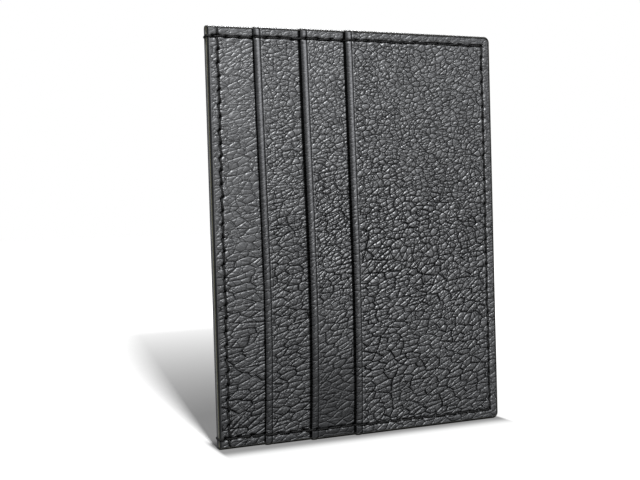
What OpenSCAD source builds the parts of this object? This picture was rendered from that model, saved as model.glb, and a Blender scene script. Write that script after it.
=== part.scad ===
// A flat card holder. Two halves stand back to back. Each half is a lined leather panel that
// carries three stepped card pockets, and the centre pocket between them opens along the mouth.
// X runs from the mouth (-) to the closed edge (+), Y from the front (-) to the back (+), Z is up.
// Inside the modules a half lies flat: X is the distance from the mouth edge, Y the place along
// the long side, and Z the height above the middle plane of the holder.

/* [Cards] */
// Length of a standard card, which lies along the long side
card_l = 85.6; // [80:0.1:90]
// Width of a standard card, which slides in from the mouth
card_w = 54; // [50:0.1:57]
// Spare room between each short end of a card and the edge seam
card_room = 4.7; // [2:0.1:8]

/* [Body] */
// Width from the mouth edge to the closed edge
holder_w = 76; // [72:0.5:90]
// Radius of the two closed corners
corner_r = 1.5; // [0.8:0.1:2.2]
// Thickness of the paint on the cut edges
coat_t = 0.2; // [0.1:0.05:0.4]

/* [Panels] */
// Thickness of the leather of each panel
panel_t = 0.9; // [0.7:0.05:1.4]
// Thickness of the thinned hem turned in at the mouth
hem_t = 0.4; // [0.3:0.05:0.8]
// Width of the hem turned in at the mouth
hem_w = 8; // [5:0.5:10]
// Clear gap between the two turned edges at the mouth
mouth_gap = 0.2; // [0.1:0.05:1]
// Thickness of the lining cloth
lining_t = 0.15; // [0.1:0.01:0.2]

/* [Pockets] */
// Distance from the mouth edge to the first pocket lip
lip_first = 11.8; // [9:0.1:13]
// Distance from one pocket lip to the next
lip_pitch = 11.7; // [10:0.1:13]
// Thickness of the pocket leather
pocket_t = 0.5; // [0.45:0.05:0.8]
// Width of the hem turned in behind a pocket lip
pocket_hem_w = 7; // [4:0.5:8.5]
// Clear space under the lining of an empty pocket
card_gap = 0.1; // [0.05:0.05:0.6]
// Width of the rolled lip of a pocket
roll_w = 1.8; // [1.6:0.1:2.6]
// How far the rolled lip stands above its pocket
roll_rise = 0.35; // [0.1:0.05:0.5]
// Width of the crease behind the rolled lip
crease_w = 0.5; // [0.3:0.05:0.8]
// Depth of the crease behind the rolled lip
crease_d = 0.15; // [0.05:0.05:0.2]
// How far a card shows above the lip of the first pocket
card_show_1 = 8; // [6:0.5:9]
// How far a card shows above the lip of the second pocket
card_show_2 = 11.5; // [10:0.5:13]

/* [Seams] */
// Distance from the outer edge to the edge seam
seam_inset = 2.5; // [2:0.1:3.5]
// Distance from the mouth edge to the mouth seam
mouth_seam_inset = 2.5; // [2.2:0.1:3.5]
// Length of one stitch from needle hole to needle hole
stitch_pitch = 3.2; // [2.5:0.1:5]
// Gap between the ends of neighbouring stitches
hole_gap = 0.6; // [0.5:0.05:0.9]
// Diameter of the sewing thread
thread_d = 0.4; // [0.3:0.05:0.5]
// Diameter of the finer thread of the pocket stops
stop_thread_d = 0.25; // [0.15:0.01:0.3]
// Depth of the groove that the stitches lie in
groove_d = 0.3; // [0.2:0.05:0.35]
// Clearance on each side of a thread in its groove
thread_clear = 0.1; // [0.05:0.01:0.2]
// Width of the glued margin inside the edge seam
margin_w = 1; // [0.5:0.1:1.8]
// Turns of thread in each tack at the mouth
tack_turns = 2; // [1:1:3]
// How far a tack reaches over each face from the mouth edge
tack_reach = 1.2; // [1.1:0.05:1.6]

/* [Hidden] */
$fn = 48;
// Nearest that one finished piece lies to the next
fit_gap = 0.05;
// Overlap by which parts of one piece run into each other
join = 0.02;
// How far a cutter passes beyond what it cuts
past = 1;
pockets = 3;
sides = ["front", "back"];
card_show = [card_show_1, card_show_2];
stopped = len(card_show);

holder_h = card_l + 2 * (card_room + seam_inset);
leather_h = holder_h - 2 * coat_t;
half_mouth = mouth_gap / 2 + hem_t + panel_t;
nose_r = (hem_t + panel_t) / 2;
nose_h = mouth_gap / 2 + nose_r;
step = pocket_t + lining_t + card_gap;
roll_r = (pocket_t + lining_t + roll_rise) / 2;
groove_w = thread_d + 2 * thread_clear;
// Height of a thread's centre line over the floor of its groove
thread_lift = thread_d / 2 + fit_gap / 2;
seam_corner_r = groove_w / 2 + 0.2;

leather_colour = "#2c2c2e";
lining_colour = "#1d1d1f";
thread_colour = "#121213";
coat_colour = "#0d0d0e";

// Pocket lip i, counted from the mouth, and the top of the i-th layer; layer 0 is the panel
function lip_u(i) = lip_first + (i - 1) * lip_pitch;
function top_h(i) = half_mouth + i * step;
function layers_at(u) = len([for (i = [1:pockets]) if (lip_u(i) < u) i]);
// Where the lower edge of a card comes to rest in pocket i
function stop_u(i) = lip_u(i) - card_show[i - 1] + card_w;

// Needle holes of the edge seam: along the two short sides and the long side
seam_u0 = tack_reach + hole_gap / 2;
seam_u1 = holder_w - seam_inset;
short_stitches = round((seam_u1 - seam_u0) / stitch_pitch);
short_pitch = (seam_u1 - seam_u0) / short_stitches;
seam_v = [seam_inset, holder_h - seam_inset];
long_stitches = round((seam_v[1] - seam_v[0]) / stitch_pitch);
long_pitch = (seam_v[1] - seam_v[0]) / long_stitches;

// Stands a flat half up, as the front or the back of the holder
module stand(side) {
    mirror([0, side == "back" ? 1 : 0, 0])
        translate([-holder_w / 2, 0, 0])
            rotate([90, 0, 0])
                children();
}

// The holder's outline from u0 to the closed edge, moved in by inset, with round closed corners
module outline(u0, inset, r) {
    reach = holder_w - inset - u0;
    tall = holder_h - 2 * inset;
    translate([u0, inset]) square([reach - r, tall]);
    translate([u0, inset + r]) square([reach, tall - 2 * r]);
    for (v = [inset + r, holder_h - inset - r])
        translate([u0 + reach - r, v]) circle(r);
}

// A flat layer of thickness t from u0 to the cut edges, with its lower face at h0
module layer(u0, h0, t) {
    translate([0, 0, h0])
        linear_extrude(t)
            outline(u0, coat_t, corner_r - coat_t);
}

// A strip of thickness t along the cut edges, which reaches margin_w past the edge seam
module margin(u0, h0, t) {
    translate([0, 0, h0])
        linear_extrude(t)
            difference() {
                outline(u0, coat_t, corner_r - coat_t);
                outline(u0 - past, seam_inset + margin_w, seam_corner_r);
            }
}

// A round edge of radius r, from v0 over length l, with its axis at distance u and height h
module round_edge(u, h, r, v0, l) {
    translate([u, v0, h])
        rotate([-90, 0, 0])
            cylinder(r = r, h = l);
}

// The bead of a rolled lip, whose nose is at u and whose underside is at h
module roll(u, h, v0, l) {
    round_edge(u + roll_r, h + roll_r, roll_r, v0, l);
    round_edge(u + roll_w - roll_r, h + roll_r, roll_r, v0, l);
    translate([u + roll_r, v0, h])
        cube([roll_w - 2 * roll_r, l, 2 * roll_r]);
}

// The edge seam's groove in the layer whose top is at h, between u0 and u1
module edge_groove(h, u0, u1) {
    intersection() {
        translate([0, 0, h - groove_d])
            linear_extrude(groove_d + 2 * roll_r)
                difference() {
                    outline(u0 - past, seam_inset - groove_w / 2, seam_corner_r + groove_w / 2);
                    outline(u0 - 2 * past, seam_inset + groove_w / 2, seam_corner_r - groove_w / 2);
                }
        translate([u0, 0, 0])
            cube([u1 - u0, holder_h, h + 2 * roll_r]);
    }
}

// A thread of diameter d with round ends, from a to b
module thread(a, b, d) {
    along = b - a;
    l = norm(along);
    translate(a)
        rotate([0, acos(along[2] / l), atan2(along[1], along[0])]) {
            translate([0, 0, d / 2]) cylinder(d = d, h = l - d);
            translate([0, 0, d / 2]) sphere(d = d);
            translate([0, 0, l - d / 2]) sphere(d = d);
        }
}

// Height of an edge stitch's end at distance u from the mouth
function stitch_h(u) = top_h(layers_at(u)) - groove_d + thread_lift;

// One stitch of the short sides: the k-th from the mouth, in row v, with clear more thread around
module short_stitch(k, v, clear) {
    u0 = seam_u0 + k * short_pitch + hole_gap / 2 - clear;
    u1 = seam_u0 + (k + 1) * short_pitch - hole_gap / 2 + clear;
    thread([u0, v, stitch_h(u0)], [u1, v, stitch_h(u1)], thread_d + 2 * clear);
}

// Room for the stitches that climb over pocket lip i
module lip_stitches(i) {
    for (k = [0:short_stitches - 1], v = seam_v)
        if (layers_at(seam_u0 + k * short_pitch) < i && layers_at(seam_u0 + (k + 1) * short_pitch) >= i)
            short_stitch(k, v, fit_gap);
}

// A row of stitches at distance u and height h, from hole to hole between v0 and v1
module long_row(u, h, v0, v1, count, d) {
    pitch = (v1 - v0) / count;
    for (k = [0:count - 1])
        thread([u, v0 + k * pitch + hole_gap / 2, h], [u, v0 + (k + 1) * pitch - hole_gap / 2, h], d);
}

module panel(side) {
    color(leather_colour)
        stand(side)
            difference() {
                union() {
                    layer(nose_r, half_mouth - panel_t, panel_t);
                    translate([nose_r, coat_t, mouth_gap / 2])
                        cube([hem_w - nose_r, leather_h, hem_t + join]);
                    round_edge(nose_r, nose_h, nose_r, coat_t, leather_h);
                }
                translate([mouth_seam_inset - groove_w / 2, 0, half_mouth - groove_d])
                    cube([groove_w, holder_h, groove_d + past]);
                edge_groove(half_mouth, tack_reach, lip_u(1) + roll_w);
            }
}

module panel_lining(side) {
    lining_u = hem_w + fit_gap;
    lining_h = half_mouth - panel_t - lining_t;
    color(lining_colour)
        stand(side) {
            layer(lining_u, lining_h, lining_t);
            margin(lining_u, 0, lining_h + join);
            margin(nose_r, 0, mouth_gap / 2);
        }
}

module mouth_seam(side) {
    h = half_mouth - groove_d + thread_lift;
    u = mouth_seam_inset;
    color(thread_colour)
        stand(side) {
            long_row(u, h, seam_v[0], seam_v[1], long_stitches, thread_d);
            for (v = [coat_t + fit_gap, seam_v[1] + hole_gap / 2])
                thread([u, v, h], [u, v + seam_inset - coat_t - fit_gap - hole_gap / 2, h], thread_d);
        }
}

module pocket(side, i) {
    lip = lip_u(i);
    low = top_h(i - 1) + card_gap;
    top = top_h(i);
    groove_end = i < pockets ? lip_u(i + 1) + roll_w : holder_w;
    color(leather_colour)
        stand(side)
            difference() {
                union() {
                    layer(lip + roll_r, top - pocket_t, pocket_t);
                    translate([lip + roll_r, coat_t, low])
                        cube([pocket_hem_w - roll_r, leather_h, lining_t + join]);
                    roll(lip, low, coat_t, leather_h);
                }
                round_edge(lip + roll_w, top - crease_d + crease_w / 2, crease_w / 2, 0, holder_h);
                edge_groove(top, lip - past, groove_end);
                lip_stitches(i);
                if (i <= stopped)
                    translate([stop_u(i) - stop_thread_d, 0, top - stop_thread_d - fit_gap])
                        cube([2 * stop_thread_d, holder_h, past]);
            }
}

module pocket_lining(side, i) {
    lining_u = lip_u(i) + pocket_hem_w + fit_gap;
    color(lining_colour)
        stand(side)
            difference() {
                union() {
                    layer(lining_u, top_h(i) - pocket_t - lining_t, lining_t);
                    margin(lining_u, top_h(i - 1), card_gap + join);
                    margin(lip_u(i) + roll_r, top_h(i - 1), card_gap);
                }
                lip_stitches(i);
            }
}

module stop_seam(side, i) {
    v0 = seam_inset + margin_w;
    v1 = holder_h - v0;
    color(thread_colour)
        stand(side)
            long_row(stop_u(i), top_h(i) - (stop_thread_d + fit_gap) / 2, v0, v1,
                round((v1 - v0) / stitch_pitch), stop_thread_d);
}

module edge_seam(side) {
    color(thread_colour)
        stand(side) {
            for (k = [0:short_stitches - 1], v = seam_v)
                short_stitch(k, v, 0);
            long_row(seam_u1, stitch_h(seam_u1), seam_v[0], seam_v[1], long_stitches, thread_d);
        }
}

// One turn of a tack: a thread that wraps around both turned edges at place v
module tack_turn(v) {
    bend_r = nose_r + fit_gap + thread_d / 2;
    for (face = [0, 1])
        mirror([0, 0, face])
            translate([nose_r, v, nose_h]) {
                rotate([90, 0, 0])
                    rotate_extrude(angle = 90, start = 90)
                        translate([bend_r, 0])
                            circle(d = thread_d);
                thread([-join, 0, bend_r], [tack_reach - nose_r, 0, bend_r], thread_d);
                translate([-bend_r, 0, -nose_h])
                    cylinder(d = thread_d, h = nose_h);
            }
}

module mouth_tacks() {
    turn_pitch = thread_d + fit_gap;
    color(thread_colour)
        stand("front")
            for (v = seam_v, k = [0:tack_turns - 1])
                tack_turn(v + (k - (tack_turns - 1) / 2) * turn_pitch);
}

// Everything between the two outer faces, from v = 0 to the full height
module whole_stack() {
    for (face = [0, 1])
        mirror([0, 0, face]) {
            round_edge(nose_r, nose_h, nose_r, 0, holder_h);
            translate([nose_r, 0, 0])
                cube([holder_w - nose_r, holder_h, half_mouth]);
            for (i = [1:pockets]) {
                roll(lip_u(i), top_h(i - 1) + card_gap, 0, holder_h);
                translate([lip_u(i) + roll_r, 0, 0])
                    cube([holder_w - lip_u(i) - roll_r, holder_h, top_h(i)]);
            }
        }
}

// The part of the painted edge that lies in a box from u0 to u1 and from v0 to v1
module edge_coat(u0, u1, v0, v1) {
    deep = 2 * (top_h(pockets) + roll_rise + past);
    color(coat_colour)
        stand("front")
            intersection() {
                whole_stack();
                linear_extrude(deep, center = true)
                    difference() {
                        outline(0, 0, corner_r);
                        outline(-past, coat_t, corner_r - coat_t);
                    }
                translate([u0, v0, -deep / 2])
                    cube([u1 - u0, v1 - v0, deep]);
            }
}

coat_u = holder_w - corner_r;

for (side = sides) {
    panel(side);
    panel_lining(side);
    mouth_seam(side);
    edge_seam(side);
    for (i = [1:pockets]) {
        pocket(side, i);
        pocket_lining(side, i);
    }
    for (i = [1:stopped])
        stop_seam(side, i);
}
mouth_tacks();
edge_coat(0, coat_u, holder_h / 2, holder_h);  // edge_coat_top
edge_coat(0, coat_u, 0, holder_h / 2);  // edge_coat_bottom
edge_coat(coat_u, holder_w, 0, holder_h);  // edge_coat_closed
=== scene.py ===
import math

import bpy
import numpy as np
from mathutils import Matrix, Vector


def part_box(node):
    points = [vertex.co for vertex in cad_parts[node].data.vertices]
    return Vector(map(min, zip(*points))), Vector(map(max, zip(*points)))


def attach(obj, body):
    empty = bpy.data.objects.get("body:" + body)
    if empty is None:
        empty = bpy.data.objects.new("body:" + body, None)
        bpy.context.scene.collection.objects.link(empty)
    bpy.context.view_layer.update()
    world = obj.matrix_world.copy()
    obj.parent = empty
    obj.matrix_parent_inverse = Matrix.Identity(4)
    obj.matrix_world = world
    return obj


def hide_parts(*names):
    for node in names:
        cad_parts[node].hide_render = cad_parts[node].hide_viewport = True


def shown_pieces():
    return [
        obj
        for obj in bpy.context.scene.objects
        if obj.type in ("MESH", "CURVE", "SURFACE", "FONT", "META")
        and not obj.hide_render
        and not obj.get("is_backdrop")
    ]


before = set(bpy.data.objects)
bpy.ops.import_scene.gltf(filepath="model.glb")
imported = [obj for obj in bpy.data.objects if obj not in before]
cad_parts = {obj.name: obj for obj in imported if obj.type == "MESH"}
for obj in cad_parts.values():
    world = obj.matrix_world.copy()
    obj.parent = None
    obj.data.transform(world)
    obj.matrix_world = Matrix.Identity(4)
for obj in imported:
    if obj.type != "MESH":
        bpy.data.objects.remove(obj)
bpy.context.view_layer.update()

# The finish of a flat leather card holder: grained shells, sewing thread, edge paint and lining cloth.
# Shapes are worked out in millimetres on a half laid flat, whose coordinates are u, the distance from
# the mouth edge, v, the place along the long side, and h, the height over the middle plane of the
# holder. stand_up() turns them into the frame, where the front looks along -Y and the back along +Y.

MM = 0.001
SIDES = ("front", "back")
POCKETS = (1, 2, 3)
LAST = POCKETS[-1]


# ------------------------------------------------------------------ sizes

def box_mm(node):
    """Lowest and highest corner of a CAD node, in millimetres."""
    low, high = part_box(node)
    return np.array(low) / MM, np.array(high) / MM


PANEL_LOW, PANEL_HIGH = box_mm("front_panel")
POCKET_LOW = {i: box_mm(f"front_pocket_{i}")[0] for i in POCKETS}
POCKET_HIGH = {i: box_mm(f"front_pocket_{i}")[1] for i in POCKETS}
CLOSED_LOW, CLOSED_HIGH = box_mm("edge_coat_closed")
MOUTH_SEAM_LOW, MOUTH_SEAM_HIGH = box_mm("front_mouth_seam")
SEAM_LOW = box_mm("front_edge_seam")[0]
TACK_HIGH = box_mm("mouth_tacks")[1]

HOLDER_W = 2 * CLOSED_HIGH[0]
HOLDER_H = CLOSED_HIGH[2]

# The painted edge: thickness of the paint, radius of the corners, and where the leather is cut
PAINT_T = PANEL_LOW[2]
CORNER_R = CLOSED_HIGH[0] - CLOSED_LOW[0]
CUT_U = HOLDER_W - PAINT_T
CUT_V = (PAINT_T, HOLDER_H - PAINT_T)
CUT_R = CORNER_R - PAINT_T
# Radius by which the leather rounds down to its cut edge
ROUND_R = 0.55

# Leather thicknesses and hem widths
PANEL_T = 0.9
POCKET_T = 0.5
PANEL_HEM_W = 8.0
POCKET_HEM_W = 7.0

# The panel's nose, which is its rounded mouth edge: heights of its outer and its inner side, its radius,
# the height of its middle and the power of its squarish curve
PANEL_TOP = -PANEL_LOW[1]
MOUTH_HALF_GAP = -PANEL_HIGH[1]
NOSE_R = (PANEL_TOP - MOUTH_HALF_GAP) / 2
NOSE_H = (PANEL_TOP + MOUTH_HALF_GAP) / 2
NOSE_POWER = 2.8

# The rolled lip of a pocket: its width, how far it stands proud, and the crease behind it
ROLL_W = 1.52
ROLL_RISE = 0.35
CREASE_DEEP = 0.22
CREASE_WIDE = 0.24

# Each layer, from 0 for the panel to the last pocket: where it starts, the radius of its nose or roll,
# the heights of its top, its underside and its hem, and where the hem ends
LIP_U = {i: POCKET_LOW[i][0] + HOLDER_W / 2 for i in POCKETS}
START = {0: 0.0, **LIP_U}
FRONT_R = {0: NOSE_R, **{i: ROLL_W / 2 for i in POCKETS}}
TOP = {0: PANEL_TOP, **{i: -POCKET_LOW[i][1] - ROLL_RISE for i in POCKETS}}
UNDER = {0: PANEL_TOP - PANEL_T, **{i: TOP[i] - POCKET_T for i in POCKETS}}
HEM_LOW = {0: MOUTH_HALF_GAP, **{i: -POCKET_HIGH[i][1] for i in POCKETS}}
HEM_END = {0: PANEL_HEM_W, **{i: LIP_U[i] + POCKET_HEM_W for i in POCKETS}}

# A lip keeps this share of its height at the short edges, and gains the rest over this length, from
# just outside the edge seam
SQUEEZED = 0.5
SQUEEZE_REACH = 5
SQUEEZE_START = 0.3
# The bow of each lip: how far it leans to the mouth at its top and bulges away from it lower down. The
# higher the power, the lower the bulge
LIP_LEAN = {0: 0.0, 1: -0.42, 2: -0.42, 3: -0.5}
LIP_BULGE = {0: 0.0, 1: 0.85, 2: 0.85, 3: 0.62}
BULGE_POWER = 1.6
# The leather behind a lip follows its bow over the first length, and ever less over the second
BOW_HOLDS = 12
BOW_FADES = 20
# Fullness of the panel between the seams, what each layer adds, and how far from the seams it builds up
SWELL = 0.02
LAYER_SWELL = 0.025
SWELL_REACH_U = 7
SWELL_REACH_V = 9

# Seams: the thread, the lines of the edge seam and the mouth seam, and their stitches. A stitch ends
# inside its needle holes, and round the corner of the edge seam the short row counts on a little
THREAD_D = MOUTH_SEAM_HIGH[0] - MOUTH_SEAM_LOW[0]
SEAM_INSET = SEAM_LOW[2] + THREAD_D / 2
SEAM_V = (SEAM_INSET, HOLDER_H - SEAM_INSET)
SEAM_U = HOLDER_W - SEAM_INSET
MOUTH_SEAM_U = (MOUTH_SEAM_LOW[0] + MOUTH_SEAM_HIGH[0]) / 2 + HOLDER_W / 2
STITCH_AIM = 3.2
EDGE_SLANT = 0.05
MOUTH_SLANT = 0.16
HOLE_GAP = 0.6
HOLE_R = 0.16
STITCH_INSET = HOLE_GAP / 2 - HOLE_R
TACK_REACH = TACK_HIGH[0] + HOLDER_W / 2
SEAM_START = TACK_REACH + HOLE_GAP / 2
SHORT_COUNT = round((SEAM_U - SEAM_START) / STITCH_AIM)
SHORT_PITCH = (SEAM_U - SEAM_START) / SHORT_COUNT
LONG_COUNT = round((SEAM_V[1] - SEAM_V[0]) / STITCH_AIM)
LONG_PITCH = (SEAM_V[1] - SEAM_V[0]) / LONG_COUNT
CORNER_TURN = 0.7

# The groove of a seam: its half width and depth under a stitch, and what a needle hole adds to them
GROOVE_W = 0.22
HOLE_W = 0.16
GROOVE_DEEP = 0.30
HOLE_DEEP = 0.22
# The leather beside it: the pinch at each hole, the puff beside each stitch, which is uneven, and how
# far and how often the groove wanders
PINCH_DEEP = 0.12
PINCH_REACH = 0.95
PUFF_HIGH = 0.07
PUFF_AT = 0.8
PUFF_REACH = 0.5
PUFF_LEAST = 0.7
PUFF_SPREAD = 0.6
WANDER = 0.32
WANDERS = 2.3


# ------------------------------------------------------------------ noise

def hashed(i, j, salt):
    """A random number from 0 to 1 for each whole-number point (i, j): its bits mixed with the salt."""
    n = i.astype(np.int64) * 73856093 + j.astype(np.int64) * 19349663 + salt * 83492791
    n = (n ^ (n >> 15)) * 668265261 & 0x7FFFFFFF
    n = (n ^ (n >> 13)) * 374761393 & 0x7FFFFFFF
    return ((n ^ (n >> 16)) & 0xFFFFFF) / 0xFFFFFF


def ease(t):
    """3t² - 2t³ with t held between 0 and 1."""
    t = np.clip(t, 0, 1)
    return t * t * (3 - 2 * t)


def noise(x, y, salt):
    """Smooth noise from 0 to 1: the hashed corners of each unit square, blended with ease()."""
    i = np.floor(x)
    j = np.floor(y)
    a = ease(x - i)
    b = ease(y - j)
    low = hashed(i, j, salt) * (1 - a) + hashed(i + 1, j, salt) * a
    high = hashed(i, j + 1, salt) * (1 - a) + hashed(i + 1, j + 1, salt) * a
    return low * (1 - b) + high * b


def cell_random(words):
    """A random number from 0 to 1 for each list of numbers, mixed bit by bit in the same way as the
    seed points of the shader's cell texture."""
    bits = [np.float32(word).view(np.uint32) for word in words]
    base = np.uint32((0xDEADBEEF + (len(words) << 2) + 13) & 0xFFFFFFFF)
    a, b, c = (base + bits[k] if k < len(bits) else base + np.zeros_like(bits[0]) for k in range(3))

    def turned(n, count):
        return (n << np.uint32(count)) | (n >> np.uint32(32 - count))

    c = (c ^ b) - turned(b, 14)
    a = (a ^ c) - turned(c, 11)
    b = (b ^ a) - turned(a, 25)
    c = (c ^ b) - turned(b, 16)
    a = (a ^ c) - turned(c, 4)
    b = (b ^ a) - turned(a, 14)
    c = (c ^ b) - turned(b, 24)
    return c / np.float64(0xFFFFFFFF)


def cells(x, y):
    """Distance from (x, y) to the nearest border between irregular cells, one seed point in each unit
    square: the least distance to a line midway between the nearest seed and another one. It is the
    same pattern as the shader's cell texture, so relief and colour fall together."""
    i = np.floor(x)
    j = np.floor(y)
    around = [(di, dj) for dj in (-1, 0, 1) for di in (-1, 0, 1)]
    seeds = []
    for di, dj in around:
        first = cell_random((i + di, j + dj))
        second = cell_random((i + di, j + dj, np.ones_like(i)))
        seeds.append((i + di + first - x, j + dj + second - y))
    least = np.full(x.shape, np.inf)
    near_u = np.zeros(x.shape)
    near_v = np.zeros(x.shape)
    for su, sv in seeds:
        away = su * su + sv * sv
        closer = away < least
        least = np.where(closer, away, least)
        near_u = np.where(closer, su, near_u)
        near_v = np.where(closer, sv, near_v)
    border = np.full(x.shape, np.inf)
    for su, sv in seeds:
        gap_u = su - near_u
        gap_v = sv - near_v
        gap = np.sqrt(gap_u**2 + gap_v**2)
        other = gap > 0.01
        gap = np.where(other, gap, 1)
        reach = ((su + near_u) * gap_u + (sv + near_v) * gap_v) / (2 * gap)
        border = np.where(other, np.minimum(border, reach), border)
    return border


# ------------------------------------------------------------------ leather grain

# Width and height of the pebbles of each layer, in millimetres
PEBBLE = {0: (2.15, 1.75), 1: (1.65, 1.6), 2: (1.45, 1.5), 3: (1.5, 1.6)}
# How strong the grain of each layer is near the bottom, in the middle and near the top
GRAIN_HEIGHTS = (0.12 * HOLDER_H, 0.5 * HOLDER_H, 0.88 * HOLDER_H)
GRAIN_STRENGTH = {
    0: (0.82, 0.56, 0.52), 1: (0.75, 0.88, 0.66), 2: (0.52, 0.97, 0.64), 3: (0.84, 1.08, 0.86),
}
GRAIN_DEEP = 0.54
# The three crease networks of the grain: width and height of their cells as shares of the pebble
# size, and the slant of the cells
SLANT = math.radians(20)
NETWORKS = {"round": (1.15, 0.8, 1.2 * SLANT), "long": (2.3, 0.85, SLANT), "fine": (0.6, 0.48, 0.0)}
# How the pattern is bent: shift and spread of each noise, in millimetres
WARPS = ((3.0, 18.0), (0.8, 6.0), (0.25, 1.6))
# How far a crease reaches from its middle line, in millimetres: its sharp cut and its wide shoulder
CUT_REACH = {"round": 0.12, "long": 0.14, "fine": 0.08}
SHOULDER_REACH = {"round": 0.22, "long": 0.28, "fine": 0.14}
# How deep each network cuts, how much of that is the sharp cut, and how dark its painted crease shade is
CUT_SHARE = {"round": 0.65, "long": 1.3, "fine": 0.5}
SHARP_SHARE = 0.68
LINE_SHARE = {"round": 0.95, "long": 1.0, "fine": 0.65}
# Strength of the slanted network at the top and what it gains below, what the round one loses there, and
# the size of the patches in which each comes and goes, in millimetres
LONG_LEAST = 0.4
LONG_GAIN = 0.8
ROUND_LOSS = 0.2
PATCH = {"round": (1.3, 1.3), "long": (6, 1.8), "fine": (1.7, 1.7)}
# Width of the dark line of painted shade in a crease, as a share of its cut, and how closely the finish
# coat follows the cuts
CREASE_LINE = 1.2
COAT_FOLLOWS = 0.62


def grain_place(u, v, layer, salt):
    """Coordinates of the grain pattern in pebble sizes: (u, v) shifted by slow and quick noise."""
    x, y = u, v
    for k, (shift, spread) in enumerate(WARPS):
        x = x + shift * (noise(u / spread, v / spread, salt + 2 * k + 1) - 0.5)
        y = y + shift * (noise(u / spread, v / spread, salt + 2 * k + 2) - 0.5)
    wide, tall = PEBBLE[layer]
    return x / wide + 0.37 * salt, y / tall + 0.11 * salt


def pebble_size(layer):
    """Mean size of a layer's pebbles, in millimetres."""
    return math.sqrt(PEBBLE[layer][0] * PEBBLE[layer][1])


def patches(x, y, name, salt, least, swing, contrast=2.2, cut_off=0.6):
    """A strength that comes and goes in patches: the least one, plus the swing times eased noise."""
    wide, tall = PATCH[name]
    return least + swing * ease(noise(x / wide, y / tall, salt) * contrast - cut_off)


def grain_cuts(u, v, layer, salt):
    """How strong each crease network is at (u, v). The slanted one grows towards the bottom edge at
    the cost of the round one, and each comes and goes in patches."""
    all_over = np.interp(v, GRAIN_HEIGHTS, GRAIN_STRENGTH[layer])
    along = u * math.cos(SLANT) + v * math.sin(SLANT)
    across = v * math.cos(SLANT) - u * math.sin(SLANT)
    low = ease(1.15 - v / HOLDER_H * 1.2)
    coarse = patches(u, v, "round", salt + 9, least=0.75, swing=0.25)
    slanted = patches(along, across, "long", salt + 10, least=0.7, swing=0.35)
    fine = patches(u, v, "fine", salt + 11, least=0.35, swing=0.65, contrast=2.0, cut_off=0.5)
    return {
        "round": all_over * (1 - ROUND_LOSS * low) * coarse,
        "long": all_over * (LONG_LEAST + LONG_GAIN * low) * slanted,
        "fine": all_over * fine,
    }


def grain(place_x, place_y, cuts, layer):
    """Pebble relief of the leather in millimetres: each crease network cuts down by its strength, with
    a shoulder that fades exponentially from the crease's middle line. The sharp cut in its middle is
    finer than the mesh and is bump."""
    height = np.zeros(place_x.shape)
    for name, (wide, tall, slant) in NETWORKS.items():
        x = (place_x * math.cos(slant) + place_y * math.sin(slant)) / wide
        y = (place_y * math.cos(slant) - place_x * math.sin(slant)) / tall
        away = cells(x, y) * pebble_size(layer) * math.sqrt(wide * tall)
        dip = (1 - SHARP_SHARE) * np.exp(-away / SHOULDER_REACH[name])
        height = height - CUT_SHARE[name] * cuts[name] * dip
    return GRAIN_DEEP * height


# ------------------------------------------------------------------ seams and edges

def edge_inside(u, v):
    """Distance inwards from the cut outline, a rectangle with two round corners that is open at the
    mouth."""
    over_u = u - (CUT_U - CUT_R)
    over_v = np.abs(v - HOLDER_H / 2) - (HOLDER_H / 2 - PAINT_T - CUT_R)
    outer = np.hypot(np.maximum(over_u, 0), np.maximum(over_v, 0))
    return CUT_R - outer - np.minimum(np.maximum(over_u, over_v), 0)


def rounding(inside):
    """Drop of the leather near its cut edge: a quarter of a circle of radius ROUND_R."""
    t = 1 - np.clip(inside / ROUND_R, 0, 1)
    return ROUND_R * (1 - np.sqrt(1 - np.minimum(t * t, 0.9999)))


def seam_place(u, v):
    """Distance from the edge seam, signed with the outer side negative, and the count of stitches
    along its nearest row."""
    row = np.minimum(v, HOLDER_H - v) - SEAM_INSET
    side = SEAM_U - u
    short = (np.abs(row) < np.abs(side)) & (row < side + CORNER_TURN)
    count = np.where(short, (u - SEAM_START) / SHORT_PITCH, (v - SEAM_V[0]) / LONG_PITCH)
    return np.minimum(row, side), count


def groove(away, count, salt, slant=0.0, shade_w=1.0):
    """Relief along a seam: a bell-shaped groove that is narrow under the middle of each stitch, slants
    with it, and is wider and deeper at the needle holes. The leather is puffed up beside each stitch
    and pinched beside each hole. away is the distance from the row, count the number of stitches
    passed, and shade_w the width of the painted shade as a share of the groove's. Returns the height
    and the painted shade of the groove, which darkens the colour along it."""
    along = count - np.floor(count)
    hole = np.cos(np.pi * count) ** 2
    uneven = PUFF_LEAST + PUFF_SPREAD * hashed(np.floor(count), np.sign(away) + 3, salt)
    wander = WANDER * (noise(count * WANDERS, away * 0, salt + 1) - 0.5)
    d = np.abs(away + wander + slant * (2 * along - 1))
    wide = GROOVE_W + HOLE_W * hole
    cut = (GROOVE_DEEP + HOLE_DEEP * hole**3) * np.exp(-((d / wide) ** 2))
    pinch = PINCH_DEEP * hole**8 * np.exp(-((d / PINCH_REACH) ** 2))
    puff = PUFF_HIGH * uneven * np.sin(np.pi * along) * np.exp(-(((d - PUFF_AT) / PUFF_REACH) ** 2))
    return puff - cut - pinch, np.exp(-((d / (wide * shade_w)) ** 4))


def squeeze(v):
    """How much of its full height a lip keeps: less near the short edges."""
    inside = np.minimum(v, HOLDER_H - v)
    return SQUEEZED + (1 - SQUEEZED) * ease((inside - SEAM_INSET + SQUEEZE_START) / SQUEEZE_REACH)


def swell(u, v, layer):
    """Fullness of a layer between its seams, which grows with the number of layers below."""
    inside = np.minimum(v, HOLDER_H - v) - SEAM_INSET
    side = SEAM_U - u
    return (SWELL + LAYER_SWELL * layer) * ease(inside / SWELL_REACH_V) * ease(side / SWELL_REACH_U)


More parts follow.
